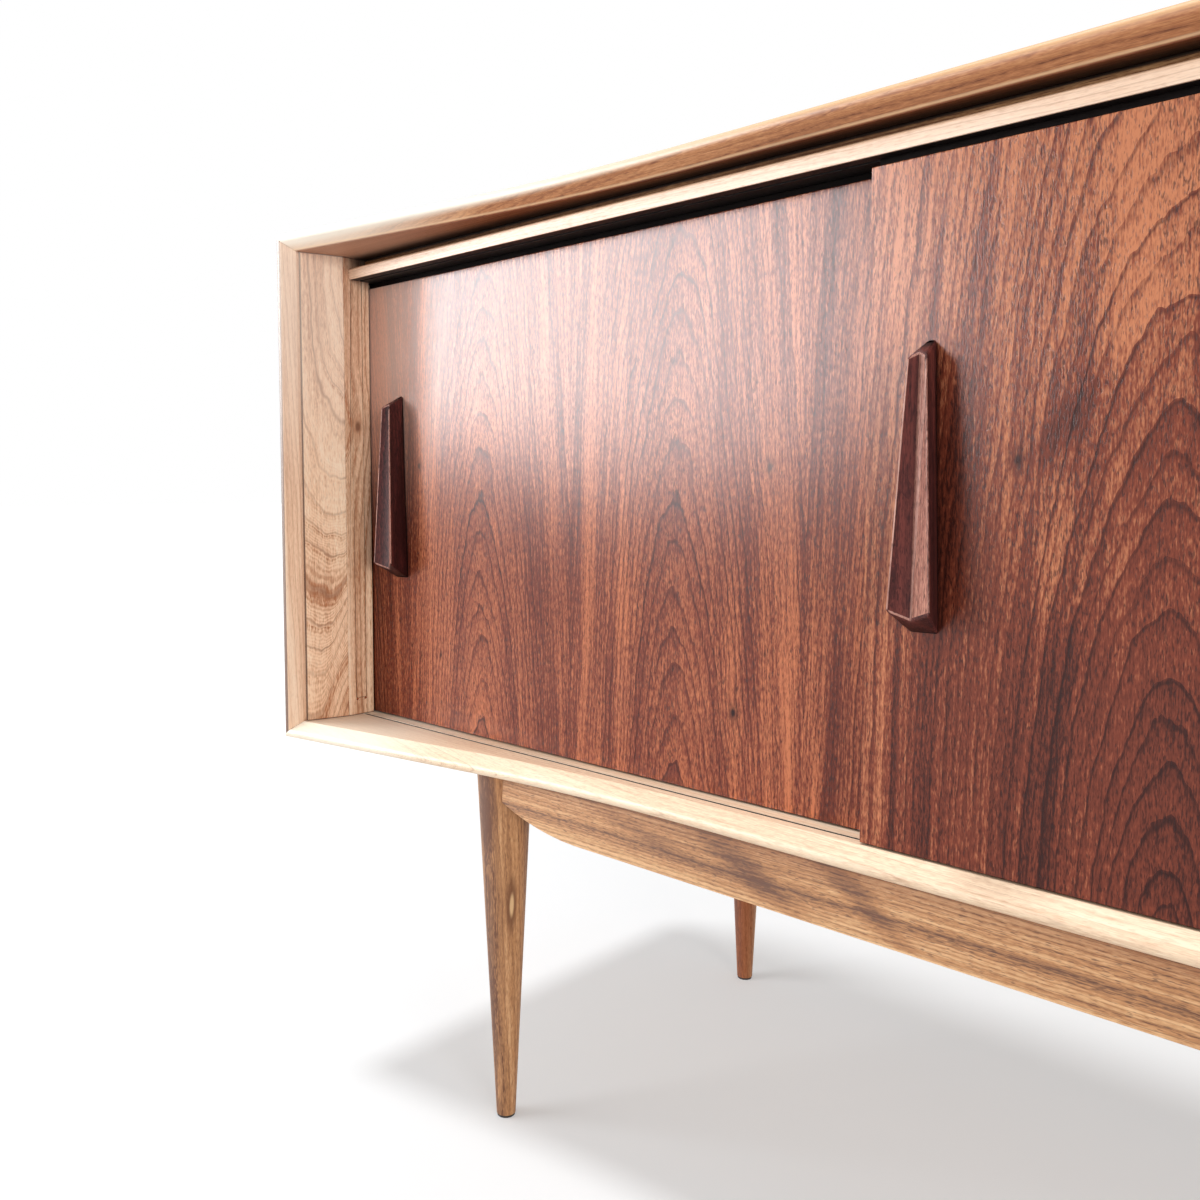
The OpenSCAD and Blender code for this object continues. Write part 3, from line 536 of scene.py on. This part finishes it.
def door_shade(g, place, colour):
    """Painted sheen lightens the side doors towards their outer upper corners; painted shade darkens
    them along the jambs, most towards the bottom.
    """
    x, z = g.abs(place[0]), place[2]
    # painted sheen towards the outer upper corners
    pale = g.mul(g.band(x, *SHEEN_X, 0.0, 0.55), g.band(z, *SHEEN_Z))
    colour = g.tint(colour, DOOR_SHEEN, pale)
    # painted shade along the jambs, strongest towards the bottom
    jamb_shade = g.mul(g.band(x, *JAMB_SHADE_X, 0.0, 0.75), g.band(z, *JAMB_SHADE_Z, 1.0, 0.25))
    return g.tint(colour, DOOR_JAMB_SHADE, jamb_shade, blend="MULTIPLY")


# ---- CAD pieces ----

MERGE = 0.000005            # points closer than this are one
EASED_ANGLE = 28            # sharper edges than this are rounded, in degrees
CAD_FLATNESS, MESH_FLATNESS = 60, 80

# Rounding of arrises: width, segments and pieces
EASED = (
    (0.0006, 2, ("top_front_member", "left_front_stile", "right_front_stile", "left_splay",
                 "right_splay", "left_jamb", "right_jamb")),
    (0.0012, 3, ("upper_track",)),
    (0.0003, 2, ("bottom_front_member",)),
    (0.0004, 2, ("top_panel", "bottom_panel", "left_side_panel", "right_side_panel", "track_packer",
                 "left_divider", "right_divider", "left_shelf", "centre_shelf", "right_shelf",
                 "front_apron", "rear_apron", "left_stretcher", "right_stretcher", "frame_cleats")),
    (0.0010, 2, ("front_left_leg", "front_right_leg", "rear_left_leg", "rear_right_leg",
                 "foot_glides")),
)


def soften(width, segments, names):
    for n in names:
        o = nodes[n]
        weld = o.modifiers.new("weld", "WELD")
        weld.merge_threshold = MERGE
        bevel = o.modifiers.new("bevel", "BEVEL")
        bevel.width = width
        bevel.segments = segments
        bevel.limit_method = "ANGLE"
        bevel.angle_limit = math.radians(EASED_ANGLE)
        bevel.use_clamp_overlap = True
        normals = o.modifiers.new("normals", "WEIGHTED_NORMAL")
        normals.weight = CAD_FLATNESS


def give(material, *names):
    for n in names:
        for s in nodes[n].material_slots:
            s.material = material


for eased in EASED:
    soften(*eased)


def tan(*colours):
    """Light brown wood with brown lines and pores."""
    return dict(tones=tones(*colours), line_colour=srgb(104, 66, 42), pore_colour=srgb(92, 58, 38))


LEG = tan((222, 176, 131), (184, 132, 88), (106, 64, 40))
APRON = tan((232, 186, 137), (190, 134, 86), (104, 62, 40))
# painted shade: the packer's tones are darkened for the recess it sits in
PACKER_SHADED = tan((206, 156, 106), (136, 92, 58), (52, 32, 20))
GOLD = dict(tones=tones((255, 234, 208), (242, 204, 170), (178, 118, 80)), pore=0.25)
CREAM = dict(tones=tones((252, 238, 214), (244, 216, 184), (196, 148, 110)), line=0.35, early=0.2,
             streak=0.25, stripe=0.3, hair=0.35, ripple=0.1, grit=0.35, pore=0.2,
             pore_colour=srgb(172, 122, 86))
STILE = dict(CREAM, tones=tones((250, 226, 200), (232, 192, 160), (170, 114, 82)), line=0.6,
             streak=0.4, hair=0.6)
TRACK = dict(CREAM, tones=tones((250, 226, 202), (236, 200, 170), (184, 134, 102)), early=0.0)
# painted shade: a shaded brown copy of the elm, for the top member whose bevel faces down
SHADED_BROWN = dict(tones=tones((222, 166, 116), (184, 122, 78), (112, 62, 38)))
# painted shade: near-black wood for the door tongues in the dark gap under the track
PAINTED_SHADE_BLACK = dict(tones=tones((30, 20, 17), (22, 14, 12), (14, 9, 8)), line_colour=srgb(12, 8, 7),
                 pore_colour=srgb(12, 8, 7), rough=(0.75, 0.9), ior=1.2)

# Knots, stain patches and patches of painted light and shade, laid out as wood() takes them
SPLAY_KNOTS = ((-0.169, 0.325, 0.0045, 0.75),)
JAMB_KNOTS = ((-0.156, 0.586, 0.0042, 1.0),)
LEG_STAINS = ((-0.605, 0.272, 0.014, 0.045, 0.1, 0.45), (-0.610, 0.10, 0.010, 0.06, 0.0, 0.2))
APRON_STAINS = ((0.280, -0.352, 0.014, 0.050, -0.39, 0.40), (0.283, -0.270, 0.013, 0.040, -0.6, 0.40),
                (0.286, -0.45, 0.008, 0.07, -0.2, 0.22))
SIDE_KNOTS = ((-0.7259, 0.5488, 0.0022, 1.0), (-0.3807, 0.3759, 0.0026, 1.0),
              (-0.3532, 0.5431, 0.0024, 0.8), (-0.6969, 0.3809, 0.0015, 0.9))
# painted sheen: a lighter patch by the outer upper edge of the side doors
SIDE_PAINTED_SHEEN = ((-0.785, 0.66, 0.045, 0.16, 0.0, -0.28),)
CENTRE_KNOTS = ((-0.1842, 0.5444, 0.003, 0.9),)
# centre door: the first patch is painted light on the top left, the second painted shade on the lower
# right, the last a painted shadow right of the left handle; the two by the knot are figure
CENTRE_MARKS_AND_PAINTED_LIGHT = ((-0.180, 0.70, 0.20, 0.22, 0.0, -0.30), (-0.10, 0.36, 0.13, 0.24, 0.0, 0.28),
                 (-0.160, 0.563, 0.014, 0.035, 0.6, 0.3), (-0.160, 0.500, 0.030, 0.075, 0.0, -0.34),
                 (-0.226, 0.525, 0.020, 0.110, 0.05, 0.42))

give(wood("elm_top", ELM, "X", 1, pith=(0.71, 0.30), slope=0.01, ring=0.0028, dark=top_shade,
          **SHADED_BROWN), "top_front_member")
give(wood("elm_bottom", ELM, "X", 2, pith=(0.30, 0.30), slope=0.03, dirt=0.3, dark=groove_shade,
          **CREAM), "bottom_front_member")
give(wood("elm_stile", ELM, "Z", 3, pith=(-0.815, 0.34), slope=0.035, peak=0.1,
          dark=jointed("left_front_stile"), **STILE), "left_front_stile", "right_front_stile")
give(wood("elm_splay", ELM, "Zy", 4, pith=(-0.176, 1.05), slope=-0.22, peak=0.2, lean=0.17,
          ring=0.0052, jag=0.0028, sway=0.024, ripple=0.22, shadow=0.1, line=0.85, line_width=0.09,
          knots=SPLAY_KNOTS, dark=jointed("left_splay"), **GOLD), "left_splay", "right_splay")
give(wood("elm_jamb", ELM, "Zy", 5, pith=(-0.09, 0.92), slope=0.03, ring=0.0026, lean=-0.06,
          stripe=0.6, streak=0.5, early=0.8, line=0.9, shadow=0.16, knots=JAMB_KNOTS,
          dark=jointed("left_jamb", front=False, upper_light=0.08), **GOLD), "left_jamb", "right_jamb")
give(wood("elm_track", ELM, "X", 6, pith=(0.60, 0.30), slope=0.006, ring=0.002, dark=track_shade,
          **TRACK), "upper_track")
give(wood("elm_packer", ELM, "X", 7, early=0.9, ring=0.0016, dark=packer_shade, rough=(0.7, 0.85),
          ior=1.25, dirt=0.4, **PACKER_SHADED), "track_packer")
give(wood("elm_flat", ELM, "Xy", 8, pith=(0.03, -0.60), slope=0.04, peak=0.05, **GOLD),
     "top_panel", "bottom_panel", "left_shelf", "centre_shelf", "right_shelf")
give(wood("elm_side", ELM, "Zy", 9, pith=(0.02, 1.0), slope=0.05, peak=0.08, **GOLD),
     "left_side_panel", "right_side_panel", "left_divider", "right_divider")
give(wood("plywood", ELM, "X", 10, pith=(0.5, 0.1), slope=0.03, ring=0.009, sway=0.04, **CREAM),
     "back_panel")
give(wood("elm_leg", ELM, "Z", 11, pith=(-0.60, 0.30), slope=0.05, peak=0.1, jag=0.002, sway=0.02,
          ripple=0.2, line=0.8, streak=0.5, hair=0.7, stains_and_painted_light=LEG_STAINS, dark=leg_shade, **LEG),
     "front_left_leg", "front_right_leg", "rear_left_leg", "rear_right_leg")
give(wood("elm_apron", ELM, "X", 12, pith=(0.34, 0.16), slope=-0.03, peak=0.1, jag=0.002, sway=0.02,
          early=0.7, pore=0.7, ripple=0.1, streak=0.45, stripe=0.5, hair=0.9, line=0.85, fade=0.8,
          ring=0.0030, cloud=0.2, stains_and_painted_light=APRON_STAINS, dark=apron_shade, **APRON),
     "front_apron", "rear_apron")
give(wood("elm_stretcher", ELM, "Y", 13, **LEG), "left_stretcher", "right_stretcher")
give(wood("elm_cleat", ELM, "X", 14, **LEG), "frame_cleats")
give(wood("tongue_wood", ELM, "X", 15, **PAINTED_SHADE_BLACK), "left_door_tongue", "centre_door_tongue",
     "right_door_tongue")
give(wood("pin_plug", WALNUT, "Xy", 24, ring=0.001), "jamb_pins")
give(simple("zinc_steel", srgb(168, 166, 160), 0.38, 1.0), "shelf_pins", "back_screws",
     "cleat_screws", "left_handle_screws", "centre_handle_screws", "right_handle_screws")
give(simple("dark_nylon", srgb(38, 34, 31), 0.45), "foot_glides", "left_door_glides",
     "centre_door_glides", "right_door_glides")


# ---- doors and handles ----

SCREW_PROUD = 0.00015
DOOR_EASE, DOOR_SEGMENTS = 0.0007, 3
HANDLE_EASE, HANDLE_SEGMENTS = 0.0015, 2
SAME_FACE = 0.6             # degrees between facets that are one face
WORN_ANGLE, WORN_LENGTH = 6, 0.003  # edges at least this sharp, in degrees, and long are rounded
BACK_EDGE = 0.0005          # edges this near the door stay sharp
GRIP, GRIP_EDGE, GRIP_LIT = 0, 1, 2  # places in a handle's list of materials


def finish_mesh(name, bm, materials, body, replaced):
    mesh = bpy.data.meshes.new(name)
    bmesh.ops.recalc_face_normals(bm, faces=bm.faces)
    for f in bm.faces:
        f.smooth = True
    bm.to_mesh(mesh)
    bm.free()
    obj = bpy.data.objects.new(name, mesh)
    bpy.context.scene.collection.objects.link(obj)
    for m in materials:
        mesh.materials.append(m)
    normals = obj.modifiers.new("normals", "WEIGHTED_NORMAL")
    normals.weight = MESH_FLATNESS
    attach(obj, body)
    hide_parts(replaced)


def door(node, body, material):
    """Door panel with eased edges. Its back lies a hair inside the screw heads."""
    low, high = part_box(node)
    bm = bmesh.new()
    bmesh.ops.create_cube(bm, size=1.0)
    size = [h - l for l, h in zip(low, high)]
    size[1] -= SCREW_PROUD
    for v in bm.verts:
        v.co = Vector([l + (c + 0.5) * s for l, c, s in zip(low, v.co, size)])
    bmesh.ops.bevel(bm, geom=list(bm.edges), offset=DOOR_EASE, segments=DOOR_SEGMENTS, profile=0.5,
                    affect="EDGES")
    finish_mesh(node + "_panel", bm, [material], body, node)


def handle(node, body, side, materials):
    """Faceted handle with rounded edges made pale by wear and painted highlight, and one facet painted
    lighter as lit. side: 1 or -1.
    """
    bm = bmesh.new()
    bm.from_mesh(nodes[node].data)
    bmesh.ops.remove_doubles(bm, verts=bm.verts, dist=MERGE)
    bmesh.ops.dissolve_limit(bm, angle_limit=math.radians(SAME_FACE), verts=bm.verts, edges=bm.edges)
    back = max(v.co.y for v in bm.verts)
    worn_and_lit_edges = [e for e in bm.edges if e.calc_length() > WORN_LENGTH and len(e.link_faces) == 2
            and e.is_convex and e.calc_face_angle() > math.radians(WORN_ANGLE)
            and min(v.co.y for v in e.verts) < back - BACK_EDGE]
    # painted light: the facets facing front and to one side take the lighter tones
    for f in bm.faces:
        painted_lit = f.normal.y < -0.5 and f.normal.x * side < -0.3
        f.material_index = GRIP_LIT if painted_lit else GRIP
    bmesh.ops.bevel(bm, geom=worn_and_lit_edges, offset=HANDLE_EASE, segments=HANDLE_SEGMENTS, profile=0.5,
                    affect="EDGES", material=GRIP_EDGE)
    # the edges of the two ends get none of the pale wear and painted highlight
    for f in bm.faces:
        if f.material_index == GRIP_EDGE and abs(f.normal.z) > 0.3:
            f.material_index = GRIP
    finish_mesh(node + "_grip", bm, materials, body, node)


side_veneer = wood("walnut_side", WALNUT, "Z", 21, pith=(0.0, 0.165), slope=0.10, peak=0.095,
                   leaf=(-0.641, 0.210), heart=0.10, knots=SIDE_KNOTS, stains_and_painted_light=SIDE_PAINTED_SHEEN,
                   dark=door_shade)
centre_veneer = wood("walnut_centre", WALNUT, "Z", 22, pith=(0.0, 0.12), slope=0.20, peak=0.095,
                     leaf=(-0.105, 0.36), tones=tones((202, 128, 90), (129, 62, 44), (64, 28, 22)),
                     streak=0.46, stripe=0.44, ring=0.0050, shadow=0.3, jag=0.0045, line=0.75,
                     knots=CENTRE_KNOTS, stains_and_painted_light=CENTRE_MARKS_AND_PAINTED_LIGHT)
DARK = dict(tones=tones((112, 56, 50), (70, 33, 32), (36, 18, 20)), line_colour=srgb(28, 14, 16),
            pore_colour=srgb(24, 12, 12), rough=(0.44, 0.58), ior=1.3, ring=0.002,
            pith=(0.0, 0.4), slope=0.02)
# painted light: lighter tones for the facet painted as lit
LIT_FACET_TONES = dict(DARK, tones=tones((206, 146, 124), (162, 102, 86), (110, 62, 52)), rough=(0.6, 0.7))
# wear and painted highlight: pale tones for the rounded edges of the handles
EDGE_WEAR_AND_HIGHLIGHT = dict(DARK, tones=tones((210, 160, 144), (180, 128, 114), (120, 74, 64)))
grips = [wood("walnut_handle", WALNUT, "Z", 23, **DARK),
         wood("walnut_handle_edge", WALNUT, "Z", 25, **EDGE_WEAR_AND_HIGHLIGHT),
         wood("walnut_handle_lit", WALNUT, "Z", 26, **LIT_FACET_TONES)]

for node, body, veneer in (("left_door", "door_left", side_veneer),
                           ("centre_door", "door_centre", centre_veneer),
                           ("right_door", "door_right", side_veneer)):
    door(node, body, veneer)
for node, body, side in (("left_handle", "door_left", 1), ("centre_left_handle", "door_centre", 1),
                         ("centre_right_handle", "door_centre", -1),
                         ("right_handle", "door_right", -1)):
    handle(node, body, side, grips)


# ---- floor, light and camera ----

FLOOR_SIZE, FLOOR_COLOUR = 60.0, (0.588, 0.60, 0.612, 1.0)
GLOW_RUN, GLOW = (0.9, 2.4), (0.30, 0.60)  # distances from the middle, and the white added there
AMBIENT = 0.44              # world light on things; seen directly it is 1

SUN_LEVEL, SUN_SPREAD, SUN_PLACE = 1.62, 9, (-0.75, -0.3, 3.0)
COOL, WARM = (0.97, 0.98, 1.0), (1.0, 0.97, 0.93)
DOORS = (-0.55, -0.15, 0.6)
WINDOW = dict(size=(1.6, 1.2), power=52, place=(-2.55, -2.2, 1.32), target=DOORS, colour=COOL)
FILL = dict(size=(2.4, 2.0), power=205, place=(6.0, -2.8, 1.4), target=(0.0, -0.15, 0.5), colour=WARM)
CARD = dict(size=(2.6, 1.6), power=202, place=(-2.60, -2.37, 1.31), target=DOORS, colour=COOL)
CARD_ROLL = -10

CAMERA_PLACE = (0.0404, -0.7317, 0.5303)
CAMERA_DIP, CAMERA_TURN = 3.84, 44.0
SENSOR, LENS = 36.0, 31.86
SHIFT = (0.0201, -0.0351)


def seen_directly(g):
    """1 for what the camera, a reflection or glass sees, 0 for light that falls on things."""
    path = g.node("ShaderNodeLightPath").outputs
    return g.math("MAXIMUM", g.math("MAXIMUM", path["Is Camera Ray"], path["Is Glossy Ray"]),
                  path["Is Transmission Ray"])


def lamp(data, place, target):
    o = bpy.data.objects.new(data.name, data)
    o.location = place
    o.visible_camera = False
    o.rotation_euler = (Vector(target) - o.location).to_track_quat("-Z", "Y").to_euler()
    bpy.context.scene.collection.objects.link(o)
    return o


def softbox(name, size, power, place, target, colour):
    data = bpy.data.lights.new(name, "AREA")
    data.shape = "RECTANGLE"
    data.size, data.size_y = size
    data.energy = power
    data.color = colour
    return lamp(data, place, target)


def floor():
    bpy.ops.mesh.primitive_plane_add(size=FLOOR_SIZE, location=(0, 0, 0))
    plane = bpy.context.object
    plane.name = "floor"
    mat = bpy.data.materials.new("floor_paper")
    g = Graph(mat)
    paper = g.node("ShaderNodeBsdfDiffuse", {"Color": FLOOR_COLOUR})
    place = g.node("ShaderNodeTexCoord").outputs["Object"]
    far = g.node("ShaderNodeVectorMath", {0: place}, operation="LENGTH").outputs["Value"]
    strength = g.mul(seen_directly(g), g.band(far, *GLOW_RUN, *GLOW))
    glow = g.node("ShaderNodeEmission", {"Color": (1, 1, 1, 1), "Strength": strength})
    g.end(g.node("ShaderNodeAddShader", {0: paper.outputs[0], 1: glow.outputs[0]}))
    plane.data.materials.append(mat)


def lights():
    world = bpy.data.worlds.new("studio")
    bpy.context.scene.world = world
    g = Graph(world)
    level = g.band(seen_directly(g), 0.0, 1.0, AMBIENT, 1.0, False)
    back = g.node("ShaderNodeBackground", {"Color": (1, 1, 1, 1), "Strength": level})
    g.end(back, "ShaderNodeOutputWorld")

    sun = bpy.data.lights.new("overhead", "SUN")
    sun.energy = SUN_LEVEL
    sun.angle = math.radians(SUN_SPREAD)
    lamp(sun, SUN_PLACE, (0, 0, 0))
    softbox("window", **WINDOW)
    fill = softbox("fill", **FILL)
    fill.visible_glossy = False
    # a wide card that only shows in gloss, for the sheen on the doors
    card = softbox("card", **CARD)
    card.data.shape = "ELLIPSE"
    card.rotation_euler.rotate_axis("Z", math.radians(CARD_ROLL))
    card.visible_diffuse = False


def camera():
    data = bpy.data.cameras.new("camera")
    cam = bpy.data.objects.new("camera", data)
    cam.location = CAMERA_PLACE
    cam.rotation_euler = (math.radians(90 - CAMERA_DIP), 0, math.radians(CAMERA_TURN))
    data.sensor_width = SENSOR
    data.lens = LENS
    data.shift_x, data.shift_y = SHIFT
    data.clip_start = 0.01
    bpy.context.scene.collection.objects.link(cam)
    bpy.context.scene.camera = cam


floor()
lights()
camera()
bpy.context.scene.view_settings.view_transform = "Standard"
